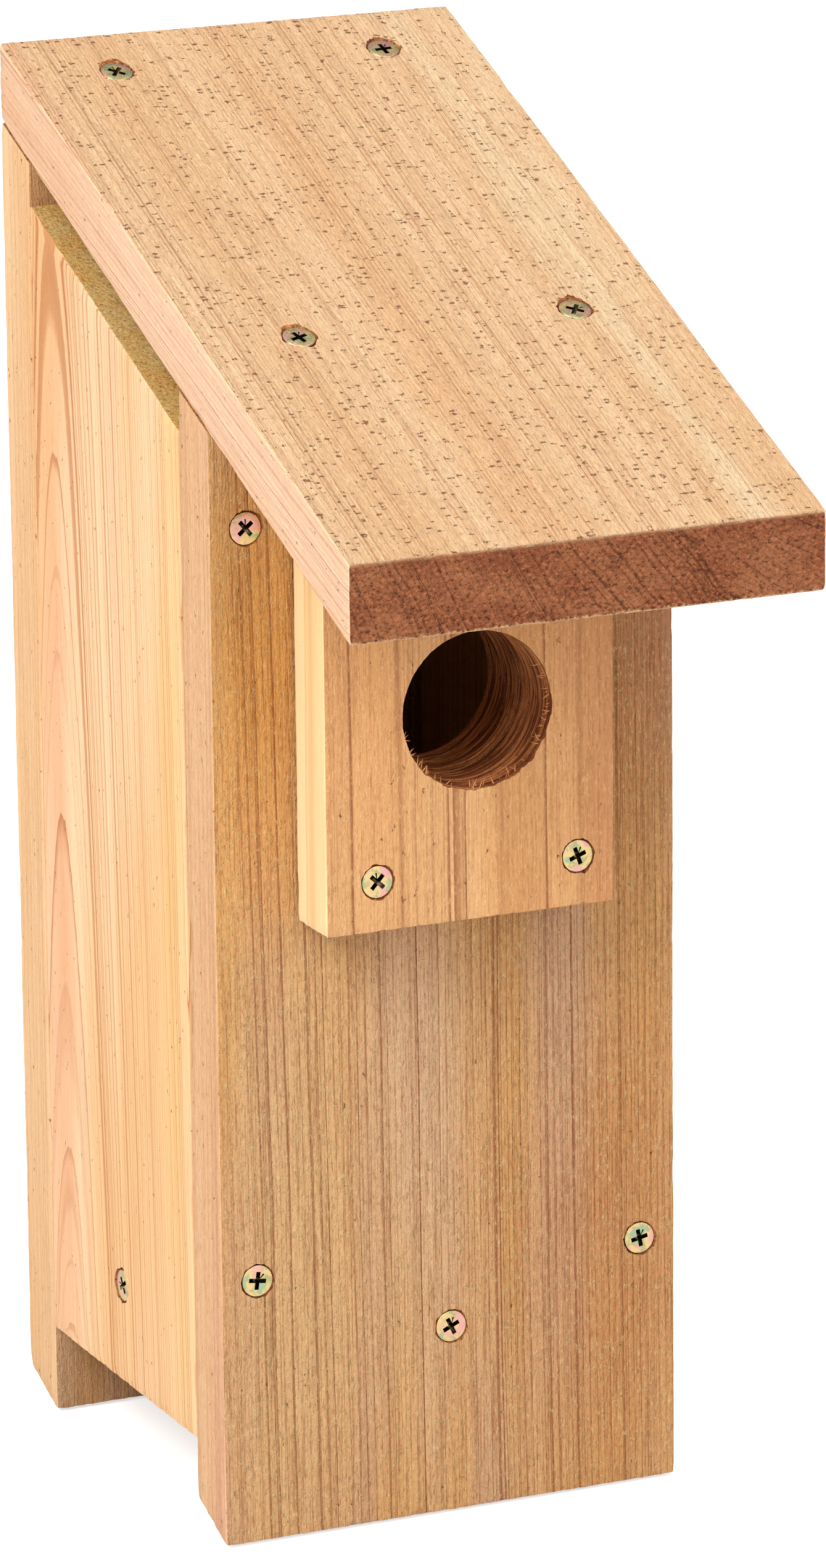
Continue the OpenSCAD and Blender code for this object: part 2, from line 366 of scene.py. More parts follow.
class Tree:
    """Short names for the shader nodes that the materials use."""

    def __init__(self, name):
        self.material = bpy.data.materials.new(name)
        self.material.use_nodes = True
        self.tree = self.material.node_tree
        self.shader = self.tree.nodes["Principled BSDF"]

    def node(self, kind, **settings):
        made = self.tree.nodes.new(kind)
        for key, value in settings.items():
            setattr(made, key, value)
        return made

    def set(self, socket, value):
        if isinstance(value, bpy.types.NodeSocket):
            self.tree.links.new(value, socket)
        else:
            socket.default_value = value

    def math(self, op, a, b=0.0):
        made = self.node("ShaderNodeMath", operation=op)
        self.set(made.inputs[0], a)
        self.set(made.inputs[1], b)
        return made.outputs[0]

    def plus(self, a, b):
        return self.math("ADD", a, b)

    def minus(self, a, b):
        return self.math("SUBTRACT", a, b)

    def times(self, a, b):
        return self.math("MULTIPLY", a, b)

    def vector(self, op, a, b):
        made = self.node("ShaderNodeVectorMath", operation=op)
        self.set(made.inputs[0], a)
        self.set(made.inputs[1], b)
        return made.outputs["Value" if op in ("LENGTH", "DOT_PRODUCT") else "Vector"]

    def ramp(self, value, low, high, out_low=0.0, out_high=1.0):
        made = self.node("ShaderNodeMapRange", interpolation_type="SMOOTHSTEP")
        for socket, v in zip(made.inputs, (value, low, high, out_low, out_high)):
            self.set(socket, v)
        return made.outputs[0]

    def noise(self, coords, stretch, detail, roughness=0.55, warp=0.0, out="Fac"):
        made = self.node("ShaderNodeTexNoise")
        self.set(made.inputs["Vector"], self.vector("MULTIPLY", coords, stretch))
        settings = {"Scale": 1.0, "Detail": detail, "Roughness": roughness, "Distortion": warp}
        for key, value in settings.items():
            made.inputs[key].default_value = value
        return made.outputs[out]

    def mix(self, factor, a, b):
        made = self.node("ShaderNodeMix", data_type="RGBA")
        self.set(made.inputs[MIX_FACTOR], factor)
        self.set(made.inputs[MIX_A], rgba(a))
        self.set(made.inputs[MIX_B], rgba(b))
        return made.outputs[MIX_RESULT]

    def bump(self, height, distance):
        made = self.node("ShaderNodeBump")
        made.inputs["Strength"].default_value = 1.0
        made.inputs["Distance"].default_value = distance
        self.set(made.inputs["Height"], height)
        return made.outputs[0]

    def finish(self, colour, normal, roughness, specular):
        """Sets the shader's own sockets and gives the material."""
        self.set(self.shader.inputs["Base Color"], colour)
        self.set(self.shader.inputs["Normal"], normal)
        self.set(self.shader.inputs["Roughness"], roughness)
        self.shader.inputs["Specular IOR Level"].default_value = specular
        return self.material

    def coords(self, turn=(0, 0, 0)):
        """Object coordinates in millimetres, turned so that the grain runs along local Z."""
        place = self.node("ShaderNodeTexCoord").outputs["Object"]
        mapping = self.node("ShaderNodeMapping")
        self.set(mapping.inputs["Vector"], place)
        mapping.inputs["Rotation"].default_value = turn
        mapping.inputs["Scale"].default_value = (1 / MM,) * 3
        return mapping.outputs[0]


def rgba(colour):
    """A colour socket as it is, and three numbers as a colour with alpha."""
    return colour if isinstance(colour, bpy.types.NodeSocket) else (*colour, 1.0)


def srgb(r, g, b):
    """Linear colour of a display colour given in 0..255."""
    return tuple(c / 3294.6 if c <= 10.31 else ((c / 255 + 0.055) / 1.055)**2.4 for c in (r, g, b))


def ring_field(t, p, pith, spacing, wobble, taper):
    """Growth rings around a pith that runs along the grain, counted outwards; spacing is in mm."""
    drift = t.noise(p, RING_DRIFT, 2.0, 0.5, out="Color")
    sway = t.vector("SUBTRACT", drift, NOISE_MEAN)
    shift = t.vector("MULTIPLY", sway, (wobble, wobble, 0))
    from_pith = t.vector("ADD", t.vector("SUBTRACT", p, (*pith, 0)), shift)
    flat = t.vector("MULTIPLY", from_pith, (1, 1, 0))
    radius = t.vector("LENGTH", flat, (0, 0, 0))
    along = t.vector("DOT_PRODUCT", p, (0, 0, 1))
    radius = t.plus(radius, t.times(along, taper))
    count = t.math("DIVIDE", radius, spacing)
    uneven = t.node("ShaderNodeTexNoise", noise_dimensions="1D")
    t.set(uneven.inputs["W"], t.times(count, UNEVEN_EVERY))
    uneven.inputs["Detail"].default_value = 1.0
    return t.plus(count, t.times(uneven.outputs["Fac"], UNEVEN_BY))


def late_wood(t, rings, width):
    """Late wood of each ring: rises softly, ends sharply; and a random value for each ring."""
    f = t.math("FRACT", rings)
    rise = t.ramp(f, 1 - width, 0.95)
    late = t.times(t.times(rise, rise), t.ramp(f, 1.0, 0.96))
    which = t.node("ShaderNodeTexWhiteNoise", noise_dimensions="1D")
    t.set(which.inputs["W"], t.math("FLOOR", rings))
    each = which.outputs["Value"]
    return t.times(late, t.ramp(each, 0.0, 1.0, FAINTEST_RING, 1.0)), each


def washes(t, p, colour, spots):
    """Broad soft tints, one of them a painted shadow on the front board. Each is a colour, a centre, radii
    in mm and a strength.
    """
    warp = t.noise(p, WASH_SWAY, 2.0, 0.5, out="Color")
    sway = t.vector("MULTIPLY", t.vector("SUBTRACT", warp, NOISE_MEAN), SWAY)
    moved = t.vector("ADD", p, sway)
    for tint, centre, radii, strength in spots:
        far = t.vector("SUBTRACT", moved, centre)
        far = t.vector("LENGTH", t.vector("DIVIDE", far, radii), (0, 0, 0))
        colour = t.mix(t.ramp(far, 1.0, 0.0, 0.0, strength), colour, tint)
    return colour


def torn_specks(t, p, cells, grit, size):
    """Torn pits, at most one in each cell of a random pattern; size is the largest, in cells."""
    made = t.node("ShaderNodeTexVoronoi")
    t.set(made.inputs["Vector"], t.vector("MULTIPLY", p, cells))
    made.inputs["Scale"].default_value = 1.0
    split = t.node("ShaderNodeSeparateColor")
    t.set(split.inputs[0], made.outputs["Color"])
    limit = t.ramp(split.outputs[0], 0.2, 1.0, -0.2, size)
    rag = t.times(t.minus(grit, 0.5), 1.5)
    ragged = t.plus(made.outputs["Distance"], rag)
    return t.ramp(t.minus(ragged, limit), 0.07, -0.06)


def broad_tints(t, p, pale, deep, pink, spots):
    """Soft bands of two tints, a blush where pink is given, and washes."""
    body = t.mix(t.ramp(t.noise(p, BANDS, 2.0), 0.35, 0.65), pale, deep)
    if pink is not None:
        aside = t.vector("ADD", p, BLUSH_ASIDE)
        body = t.mix(t.ramp(t.noise(aside, BLUSH, 2.0), 0.5, 0.72), body, pink)
    return washes(t, p, body, spots)


def surface_marks(t, p, specks, speck_size):
    """Fields of a sawn face: long streaks, fuzz, torn pits and small raised bumps."""
    streaks = t.noise(p, STREAKS, 4.0, 0.66)
    fuzz = t.noise(p, FUZZ, 4.0, 0.7)
    grit = t.noise(t.vector("ADD", p, GRIT_ASIDE), GRIT, 3.0, 0.7)
    pits = torn_specks(t, p, specks, grit, speck_size)
    bumps = t.ramp(t.noise(t.vector("ADD", p, BUMPS_ASIDE), BUMPS, 2.0, 0.6), 0.55, 0.66)
    return streaks, fuzz, pits, bumps


def sawn_relief(t, marks, late, rough):
    """Normal of a sawn face: fuzz, streaks and bumps stand up, late wood and pits lie lower."""
    streaks, fuzz, pits, bumps = marks
    height = t.plus(t.times(fuzz, FUZZ_HEIGHT * rough),
                    t.times(streaks, STREAK_HEIGHT))
    height = t.minus(height, t.times(late, LATE_DIP + LATE_DIP_SAWN * rough))
    height = t.plus(height, t.times(bumps, BUMP_HEIGHT * rough))
    height = t.minus(height, t.times(pits, PIT_DIP))
    return t.bump(height, (RELIEF + RELIEF_SAWN * rough) * MM)


def cedar(name, pale, deep, line, pith, spacing, turn=(0, 0, 0), wobble=3.0, taper=0.01, rough=1.0,
          line_width=0.35, line_strength=0.7, relief_shading=0.5, pink=None,
          specks=(0.35, 0.35, 0.2), speck_size=-0.02, spots=()):
    """Sawn cedar. pale and deep are its broad bands, line its late wood; rough is 0 for planed.

    relief_shading is the strength of the shade and highlight painted on its fuzz and raised bumps; specks
    and speck_size are the cells and the size of its pits.
    """
    t = Tree(name)
    p = t.coords(turn)
    late, each = late_wood(t, ring_field(t, p, pith, spacing, wobble, taper), line_width)
    marks = surface_marks(t, p, specks, speck_size)
    streaks, fuzz, pits, bumps = marks
    # Colours painted on the sawn relief: shade for its low spots and torn pits, highlight for its high spots
    # and raised bumps
    painted_shade = tuple(0.72 * c for c in line)
    pit_shade = tuple(a * b for a, b in zip(line, (0.46, 0.32, 0.22)))
    painted_highlight = tuple(min(1.0, c * 1.25 + 0.04) for c in pale)
    colour = broad_tints(t, p, pale, deep, pink, spots)
    colour = t.mix(t.times(each, RING_TINT), colour, line)
    colour = t.mix(t.times(late, line_strength), colour, line)
    colour = t.mix(t.ramp(streaks, 0.46, 0.66, 0.0, 0.15 + 0.35 * rough), colour, line)
    # Painted shade in the low spots of the fuzz, painted highlight on its high spots
    colour = t.mix(t.ramp(fuzz, 0.47, 0.34, 0.0, 0.5 * relief_shading), colour, painted_shade)
    colour = t.mix(t.ramp(fuzz, 0.56, 0.68, 0.0, 0.7 * relief_shading), colour, painted_highlight)
    # Painted shade in the torn pits, painted highlight on the raised bumps
    colour = t.mix(t.times(pits, 0.85), colour, pit_shade)
    colour = t.mix(t.times(bumps, 0.3 * relief_shading), colour, painted_highlight)
    normal = sawn_relief(t, marks, late, rough)
    return t.finish(colour, normal, t.ramp(streaks, 0.3, 0.7, 0.62, 0.82), 0.25)


def rim_highlight_mask(t, p, grit, levels):
    """Ragged strips of a cut end beside the board's two faces, at two levels of local Y, where a highlight
    is painted.
    """
    low, high = levels
    level = t.vector("DOT_PRODUCT", p, (0, 1, 0))
    level = t.plus(level, t.times(t.minus(grit, 0.5), 3.0))
    return t.math("MAXIMUM", t.ramp(level, low + 1.4, low + 0.3), t.ramp(level, high - 0.9, high - 0.2))


def cedar_end(name, pale, deep, line, pith, spacing, turn=(0, 0, 0), wobble=3.0, highlight_rims=None):
    """Crosscut cedar: ring arcs, crushed pores and a rough, thirsty surface; shade is painted in its hollows
    and highlight on its high spots.

    highlight_rims holds two levels of local Y, at the board's faces, where the fibres are pale and frayed
    and a highlight is painted along the rims.
    """
    t = Tree(name)
    p = t.coords(turn)
    late, _ = late_wood(t, ring_field(t, p, pith, spacing, wobble, taper=0.01), 0.6)
    grit = t.noise(p, END_GRIT, 5.0, 0.76)
    torn = t.noise(p, END_TORN, 4.0, 0.72)
    # Painted shade for the crushed pores in the low spots of the grit and for the torn hollows, painted
    # highlight for the high spots of the grit
    pore_shade = tuple(c * 0.4 for c in line)
    painted_shade = tuple(c * 0.5 for c in line)
    painted_highlight = tuple(min(1.0, c * 1.6) for c in pale)
    colour = t.mix(t.ramp(t.noise(p, END_BANDS, 3.0), 0.35, 0.65), pale, deep)
    colour = t.mix(t.times(late, 0.8), colour, line)
    colour = t.mix(t.ramp(grit, 0.48, 0.36, 0.0, 0.8), colour, pore_shade)
    colour = t.mix(t.ramp(torn, 0.46, 0.34, 0.0, 0.4), colour, painted_shade)
    colour = t.mix(t.ramp(grit, 0.53, 0.64, 0.0, 0.7), colour, painted_highlight)
    # Pale frayed fibres along both rims of the cut end, with a painted highlight
    if highlight_rims is not None:
        frayed = t.times(rim_highlight_mask(t, p, grit, highlight_rims), 0.75)
        colour = t.mix(frayed, colour, srgb(236, 196, 150))
    height = t.plus(t.times(grit, 0.9), t.times(torn, 0.9))
    height = t.minus(height, t.times(late, 0.12))
    return t.finish(colour, t.bump(height, 1.2 * MM), 0.9, 0.15)


def bore_wall(name):
    """Bored wood: dark, scorched ring grooves that cut across the grain, and painted shade in the low spots
    of its fuzz.
    """
    t = Tree(name)
    p = t.coords()
    rings = t.noise(p, (0.05, 0.75, 0.05), 2.0, 0.6)
    fuzz = t.noise(p, (0.9, 0.9, 0.35), 4.0, 0.7)
    colour = t.mix(t.ramp(rings, 0.38, 0.62), srgb(214, 140, 84), srgb(122, 66, 36))
    # Painted shade in the low spots of the bore's fuzz
    colour = t.mix(t.ramp(fuzz, 0.48, 0.3, 0.0, 0.7), colour, srgb(60, 32, 18))
    height = t.plus(t.times(rings, 0.9), t.times(fuzz, 0.7))
    return t.finish(colour, t.bump(height, 1.0 * MM), 0.85, 0.15)


def zinc(name, dark=1.0):
    """Yellow chromate on zinc: a thin film whose colour drifts from olive to gold and pink."""
    t = Tree(name)
    p = t.coords()
    film = t.noise(p, (0.42,) * 3, 2.0, 0.5, 0.6)
    patch = t.noise(t.vector("ADD", p, PATCH_ASIDE), (0.3,) * 3, 1.0)
    colour = t.mix(t.ramp(film, 0.36, 0.52), srgb(188, 180, 128), srgb(238, 208, 142))
    colour = t.mix(t.ramp(patch, 0.5, 0.64), colour, srgb(238, 180, 168))
    colour = t.mix(t.ramp(patch, 0.42, 0.3), colour, srgb(172, 192, 152))
    scuff = t.noise(p, (2.5,) * 3, 3.0, 0.6)
    colour = t.mix(t.ramp(scuff, 0.55, 0.75, 0.0, 0.5), colour, srgb(236, 226, 196))
    # Painted shade: dark below 1 pulls the colour towards black, for the shaded cross recess of the heads
    colour = t.mix(1.0 - dark, colour, (0.012, 0.009, 0.005))
    t.set(t.shader.inputs["Base Color"], colour)
    t.shader.inputs["Metallic"].default_value = 1.0
    t.set(t.shader.inputs["Roughness"], t.ramp(scuff, 0.3, 0.7, 0.24, 0.42))
    t.set(t.shader.inputs["Normal"], t.bump(scuff, 0.05 * MM))
    return t.material


# ---- materials of this box

ALONG_ROOF = (math.pi / 2 - PITCH, 0, 0)
ALONG_X = (0, -math.pi / 2, 0)

# Local Y of the roof's upper face once its grain lies along local Z; the lower face is BOARD_T further
ROOF_FACE = ROOF[1][1] * math.sin(PITCH) - ROOF[1][2] * math.cos(PITCH)

# A spot is a tint, its middle and its radii in millimetres, and its strength
M_FRONT = cedar("cedar_front", srgb(252, 200, 140), srgb(246, 184, 114), srgb(158, 84, 40),
    pith=(-98, 30), spacing=1.7, rough=1.0, relief_shading=0.8, line_strength=1.0, pink=srgb(242, 190, 146),
    spots=[(srgb(240, 170, 84), (-52, -25, 225), (34, 60, 110), 0.85),
           (srgb(248, 202, 162), (-5, -25, 120), (30, 60, 120), 0.6),
           # Darker patch right of the guard and under the roof: painted shadow of the guard and roof
           (srgb(196, 132, 96), (58, -25, 235), (34, 60, 110), 0.8),
           (srgb(222, 152, 96), (50, -25, 60), (40, 60, 110), 0.7)])
M_EDGE = cedar("cedar_edge", srgb(244, 198, 150), srgb(238, 186, 138), srgb(196, 124, 84),
    pith=(-40, -80), spacing=2.6, rough=0.5, relief_shading=0.6, line_strength=0.5, pink=srgb(238, 184, 148))
M_SIDE = cedar("cedar_side", srgb(252, 214, 170), srgb(244, 198, 142), srgb(196, 124, 72),
    pith=(0, 78), spacing=0.95, taper=0.02, rough=0.12, relief_shading=0.14, line_strength=1.0,
    line_width=0.55, wobble=1.2, pink=srgb(248, 200, 160),
    spots=[(srgb(250, 206, 130), (-63, 0, 170), (20, 12, 400), 0.45),
           (srgb(238, 172, 124), (-63, 80, 160), (20, 14, 400), 0.5)])
M_DOOR = cedar("cedar_door", srgb(248, 210, 166), srgb(238, 190, 134), srgb(198, 128, 82),
    pith=(-30, 20), spacing=1.7, taper=0.015, rough=0.2, relief_shading=0.2, line_strength=0.7,
    line_width=0.5, pink=srgb(242, 188, 150))
M_BACK = cedar("cedar_back", srgb(242, 196, 146), srgb(230, 172, 114), srgb(166, 100, 58),
    pith=(60, 40), spacing=1.9, rough=0.9, relief_shading=0.7, pink=srgb(240, 190, 156))
M_BACK_EDGE = cedar("cedar_back_edge", srgb(248, 206, 158), srgb(242, 192, 138), srgb(204, 140, 88),
    pith=(20, -60), spacing=2.4, rough=0.35, relief_shading=0.35, line_strength=0.4)
M_ROOF = cedar("cedar_roof", srgb(242, 202, 158), srgb(236, 190, 142), srgb(190, 128, 82),
    pith=(130, ROOF_FACE - 90), spacing=0.95, turn=ALONG_ROOF, rough=0.8, relief_shading=0.7,
    line_strength=0.75, wobble=1.6, specks=(0.42, 0.42, 0.8), speck_size=0.27,
    pink=srgb(238, 186, 146),
    spots=[(srgb(246, 218, 176), (46, ROOF_FACE, 60), (13, 40, 500), 0.8),
           (srgb(238, 184, 134), (-8, ROOF_FACE, 60), (16, 40, 400), 0.6)])
M_ROOF_EDGE = cedar("cedar_roof_edge", srgb(246, 206, 170), srgb(238, 190, 150), srgb(192, 118, 84),
    pith=(-40, ROOF_FACE + 50), spacing=1.5, taper=0.05, turn=ALONG_ROOF, rough=0.3,
    relief_shading=0.35, line_width=0.5, line_strength=0.8, wobble=8.0)
M_GUARD = cedar("cedar_guard", srgb(236, 184, 128), srgb(226, 166, 108), srgb(150, 84, 44),
    pith=(-120, 60), spacing=9.0, rough=0.55, relief_shading=0.55, line_width=0.3, line_strength=0.85,
    spots=[(srgb(208, 140, 94), (40, -44, 220), (26, 40, 120), 0.7)])
M_GUARD_EDGE = cedar("cedar_guard_edge", srgb(255, 226, 176), srgb(252, 218, 162), srgb(216, 164, 104),
    pith=(-130, -90), spacing=8.0, rough=0.06, relief_shading=0.08, line_strength=0.5)
M_INNER = cedar("cedar_inner", srgb(232, 186, 136), srgb(216, 158, 104), srgb(150, 92, 54),
    pith=(-80, 60), spacing=1.6, turn=ALONG_X, rough=0.6, relief_shading=0.5)
M_ROOF_END = cedar_end("cedar_roof_end", srgb(178, 112, 74), srgb(156, 90, 58), srgb(92, 47, 27),
    pith=(130, ROOF_FACE - 90), spacing=1.9, turn=ALONG_ROOF, wobble=12.0,
    highlight_rims=(ROOF_FACE, ROOF_FACE + BOARD_T))
M_END = cedar_end("cedar_end", srgb(224, 162, 100), srgb(222, 158, 94), srgb(168, 100, 56),
    pith=(-98, 30), spacing=1.75)
M_FIBRE = cedar("cedar_fibre", srgb(236, 172, 112), srgb(212, 138, 84), srgb(150, 84, 44),
    pith=(-120, 60), spacing=2.0, rough=0.3, relief_shading=0.3)
# Paler copy of the end grain, painted light for the side panel's top end, which lies in shade under the
# roof; the door's ends use it too
M_LIT_PANEL_END = cedar_end("cedar_panel_end_painted_light", srgb(255, 214, 140), srgb(255, 200, 116), srgb(255, 188, 104),
    pith=(0, 78), spacing=1.2)
M_BORE = bore_wall("cedar_bore")
M_TORN = cedar_end("cedar_torn", srgb(206, 136, 84), srgb(150, 84, 48), srgb(84, 42, 22),
    pith=(-40, 30), spacing=1.4)
M_ZINC = zinc("zinc")
# The heads' cross recesses: zinc with painted shade
M_SHADED_RECESS = zinc("zinc_recess_painted_shade", dark=0.1)

# ---- screws

TO_FRONT = (math.pi / 2, 0, 0)
TO_BACK = (-math.pi / 2, 0, 0)
TO_LEFT = (0, -math.pi / 2, 0)
TO_ROOF = (PITCH, 0, 0)
HEAD_SINK = 0.3  # heads are driven just under the face

SCREW_SEGMENTS = 32
# Radius and height of a screw's rings, from the middle of its head down to the thread
SCREW_PROFILE = [(2.4, -0.04), (3.7, 0.0), (4.08, -0.07), (HEAD_R, -0.22), (HEAD_R, -HEAD_RIM), (4.0, -0.75),
                 (SHANK_R + 0.15, -HEAD_RIM - 1.95), (SHANK_R, -HEAD_RIM - 2.3),
                 (SHANK_R, -11.0), (CORE_R, -11.6)]
THREAD_TOP, THREAD_STEP = -11.9, 0.32
RIDGE_SLOPE = 4.5  # larger makes a thinner thread
TIP_R, POINT_R = 0.25, 0.1
# Half length, half width and height of the cross recess, from above the head down
RECESS = [(2.45, 0.62, 0.4), (2.3, 0.55, -0.25), (1.75, 0.45, -1.35), (0.6, 0.3, -2.3)]

SINK_SEGMENTS = 48
SINK_DEPTH = 3.0
SINK_GAP = 0.12  # between the wood and the screw
GOUGE_WIDTH = 0.65  # radians

# Each node's facing and the turns of its recesses in degrees
SCREWS = {
    "roof_front_screws": (TO_ROOF, (20, -35)),
    "roof_back_screws": (TO_ROOF, (50, 5)),
    "guard_lower_screws": (TO_FRONT, (48, 20)),
    "guard_upper_screws": (TO_FRONT, (10, -30)),
    "left_panel_front_screws": (TO_FRONT, (-8, 40)),
    "left_panel_back_screws": (TO_BACK, (30, 15)),
    "floor_front_screw": (TO_FRONT, (25,)),
    "floor_back_screw": (TO_BACK, (-20,)),
    "floor_left_screw": (TO_LEFT, (35,)),
    "door_front_pivot_screw": (TO_FRONT, (-15,)),
    "door_back_pivot_screw": (TO_BACK, (40,)),
    "door_lock_screw": (TO_FRONT, (12,)),
}


def roof_top(y):
    """Height of the roof's upper face at depth y, in millimetres."""
    return ROOF[1][2] - (ROOF[1][1] - y) * RISE


def turned(facing, turn=0.0):
    """Rotation that turns +Z to the outward direction, after a turn about it in degrees."""
    return Euler(facing).to_matrix() @ Matrix.Rotation(math.radians(turn), 3, "Z")


def head_places(node):
    """For each screw of a node, the middle of its head in millimetres and its rotation."""
    facing, turns = SCREWS[node]
    low, high = node_box(node)
    outward = np.array(turned(facing) @ Vector((0, 0, 1)))
    spot = (low + high) / 2
    if facing == TO_ROOF:
        spot[1] = low[1] + HEAD_R * math.cos(PITCH)
        spot[2] = roof_top(spot[1])
    else:
        face = int(np.argmax(np.abs(outward)))
        spot[face] = high[face] if outward[face] > 0 else low[face]
    if len(turns) == 1:
        return [(spot, turned(facing, turns[0]))]
    reach = (high - low) / 2 - HEAD_R
    side_by_side = reach[0] > 1
    shift = np.array((reach[0], 0, 0)) if side_by_side else np.array((0, 0, reach[2]))
    return [(spot - shift, turned(facing, turns[0])), (spot + shift, turned(facing, turns[1]))]


def angles_round(count):
    return np.arange(count) * 2 * math.pi / count


def circle(radii, z, count=SCREW_SEGMENTS):
    """A ring of points at height z; radii is one number or one for each point."""
    a = angles_round(count)
    return np.stack([np.cos(a) * radii, np.sin(a) * radii, np.full(count, z)], 1)


def cross(half_long, half_wide, z):
    """Outline of a cross as a ring of twelve points."""
    a, b = half_long, half_wide
    flat = [(a, -b), (a, b), (b, b), (b, a), (-b, a), (-b, b),
            (-a, b), (-a, -b), (-b, -b), (-b, -a), (b, -a), (b, -b)]
    return np.array([(x, y, z) for x, y in flat])


def screw_rings():
    """Rings of a screw from its head to its point; the thread is a ridge that winds round them."""
    rings = [circle(r, z) for r, z in SCREW_PROFILE]
    turn = np.arange(SCREW_SEGMENTS) / SCREW_SEGMENTS
    for z in np.arange(THREAD_TOP, -SCREW_LEN + 0.3, -THREAD_STEP):
        fade = min(1.0, (SCREW_LEN + z) / TIP_LEN)
        phase = (z / THREAD_PITCH - turn) % 1.0
        ridge = np.clip(1 - np.abs(phase - 0.5) * RIDGE_SLOPE, 0, 1)
        core = TIP_R + (CORE_R - TIP_R) * fade
        rings.append(circle(core + ridge * (SHANK_R - CORE_R) * fade, z))
    rings.append(circle(POINT_R, -SCREW_LEN))
    return rings


def screw_template():
    """One wood screw, head up at the origin, with a tapered cross recess."""
    piece = ring_piece("screw_template", screw_rings(), [M_ZINC, M_SHADED_RECESS])
    walls = [cross(*level) for level in RECESS]
    cut(piece, [ring_piece("recess", walls, [M_SHADED_RECESS], smooth=False)])
    return piece


def make_screws(template, node, body):
    """A node's screws as one piece."""
    copies = []
    for spot, rotation in head_places(node):
        copy = bpy.data.objects.new(node + "_detailed", template.data.copy())
        link(copy)
        place = rotation.to_4x4()
        place.translation = (Vector(spot) - rotation @ Vector((0, 0, HEAD_SINK))) * MM
        copy.data.transform(place)
        copies.append(copy)
    piece = join(copies)
    soften(piece, SCREW_CREASE)
    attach(piece, body)
    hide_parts(node)


def countersink(spot, rotation, seed, gouge=None):
    """Cutter for a screw's torn countersink; gouge is a direction in which more wood is torn out."""
    a = angles_round(SINK_SEGMENTS)
    dirs = np.stack([np.cos(a) * 3, np.sin(a) * 3, np.full(SINK_SEGMENTS, seed * 7.3)], 1)
    tear = np.clip(noise(dirs, (1.3,) * 3, seed), 0, 1)
    burr = np.clip(noise(dirs, (3.1,) * 3, seed + 9), 0, 1)
    if gouge is not None:
        local = rotation.inverted() @ Vector(gouge)
        swing = (a - math.atan2(local.y, local.x) + math.pi) % (2 * math.pi) - math.pi
        tear = tear + (1.3 + 1.6 * burr) * np.exp(-(swing / GOUGE_WIDTH)**2)
    under_rim = -HEAD_SINK - HEAD_RIM
    levels = [(HEAD_R + 0.35 + 0.9 * tear + 0.5 * burr, 1.0),
              (HEAD_R + 0.25 + 0.7 * tear + 0.4 * burr, -0.15),
              (HEAD_R + SINK_GAP + 0.2 * tear, under_rim),
              (SHANK_R + SINK_GAP, under_rim - 2.1),
              (SHANK_R + SINK_GAP, -SINK_DEPTH)]
    rings = [circle(radius, z, SINK_SEGMENTS) @ np.array(rotation).T + spot for radius, z in levels]
    return ring_piece("countersink", rings, [M_TORN])


def countersinks(seed, *nodes, gouge=None):
    """Cutters for all the screws of some nodes."""
    places = [place for node in nodes for place in head_places(node)]
    return [countersink(spot, rotation, seed + i, gouge) for i, (spot, rotation) in enumerate(places)]


# ---- boards

BOARD_CREASE, SCREW_CREASE = 38, 40  # edges sharper than this many degrees stay crisp

ENTRANCE_SEGMENTS = 160
ENTRANCE_STEP = 0.45  # between the rings of the bore
FIBRE_COUNT, FIBRE_SEED = 64, 61

# Chips at the seam of the front board, on its left edge
FRONT_NICKS = [(0.5, 18.5, 128, 1.6, 1.2), (0.4, 18.6, 150, 1.9, 1.3), (0.3, 18.4, 118, 1.0, 0.8)]


def soften(piece, degrees):
    """Smooth shading that keeps edges sharper than an angle."""
    mesh = piece.data
    bm = bmesh.new()
    bm.from_mesh(mesh)
    limit = math.radians(degrees)
    for edge in bm.edges:
        edge.smooth = len(edge.link_faces) == 2 and edge.calc_face_angle(0.0) < limit
    for face in bm.faces:
        face.smooth = True
    bm.to_mesh(mesh)
    bm.free()


def make_board(name, size, steps, place, materials, rough, seed, nicks=(), outer_r=CRISP_R,
               edge_slot=EDGE_ZONE):
    """A weathered board. size and the lattice steps are across, through and along.

    place maps those to the frame. The first two materials are for the faces and the ends;
    edge_slot is the one for the long edges.
    """
    lattice_pts, faces, zones = board_grid(*size, *steps, outer_r)
    zones[zones == EDGE_ZONE] = edge_slot
    verts = np.stack(place(*lattice_pts.T), 1)
    piece = new_piece(name, verts, faces.tolist(), materials, zones)
    weather(piece, lattice_pts, size, rough, seed, nicks)
    return piece


def finish_board(piece, node, body):
    """Settles a board's shading, hangs it on its body and hides the CAD node it stands for."""
    soften(piece, BOARD_CREASE)
    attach(piece, body)
    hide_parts(node)


def box_cutter(low, high, material):
    """Cutter between two corners, in millimetres."""
    (x0, y0, z0), (x1, y1, z1) = low, high
    outline = [(x0, y0), (x1, y0), (x1, y1), (x0, y1)]
    rings = [np.array([(x, y, z) for x, y in outline], float) for z in (z0, z1)]
    return ring_piece("box_cutter", rings, [material], smooth=False)


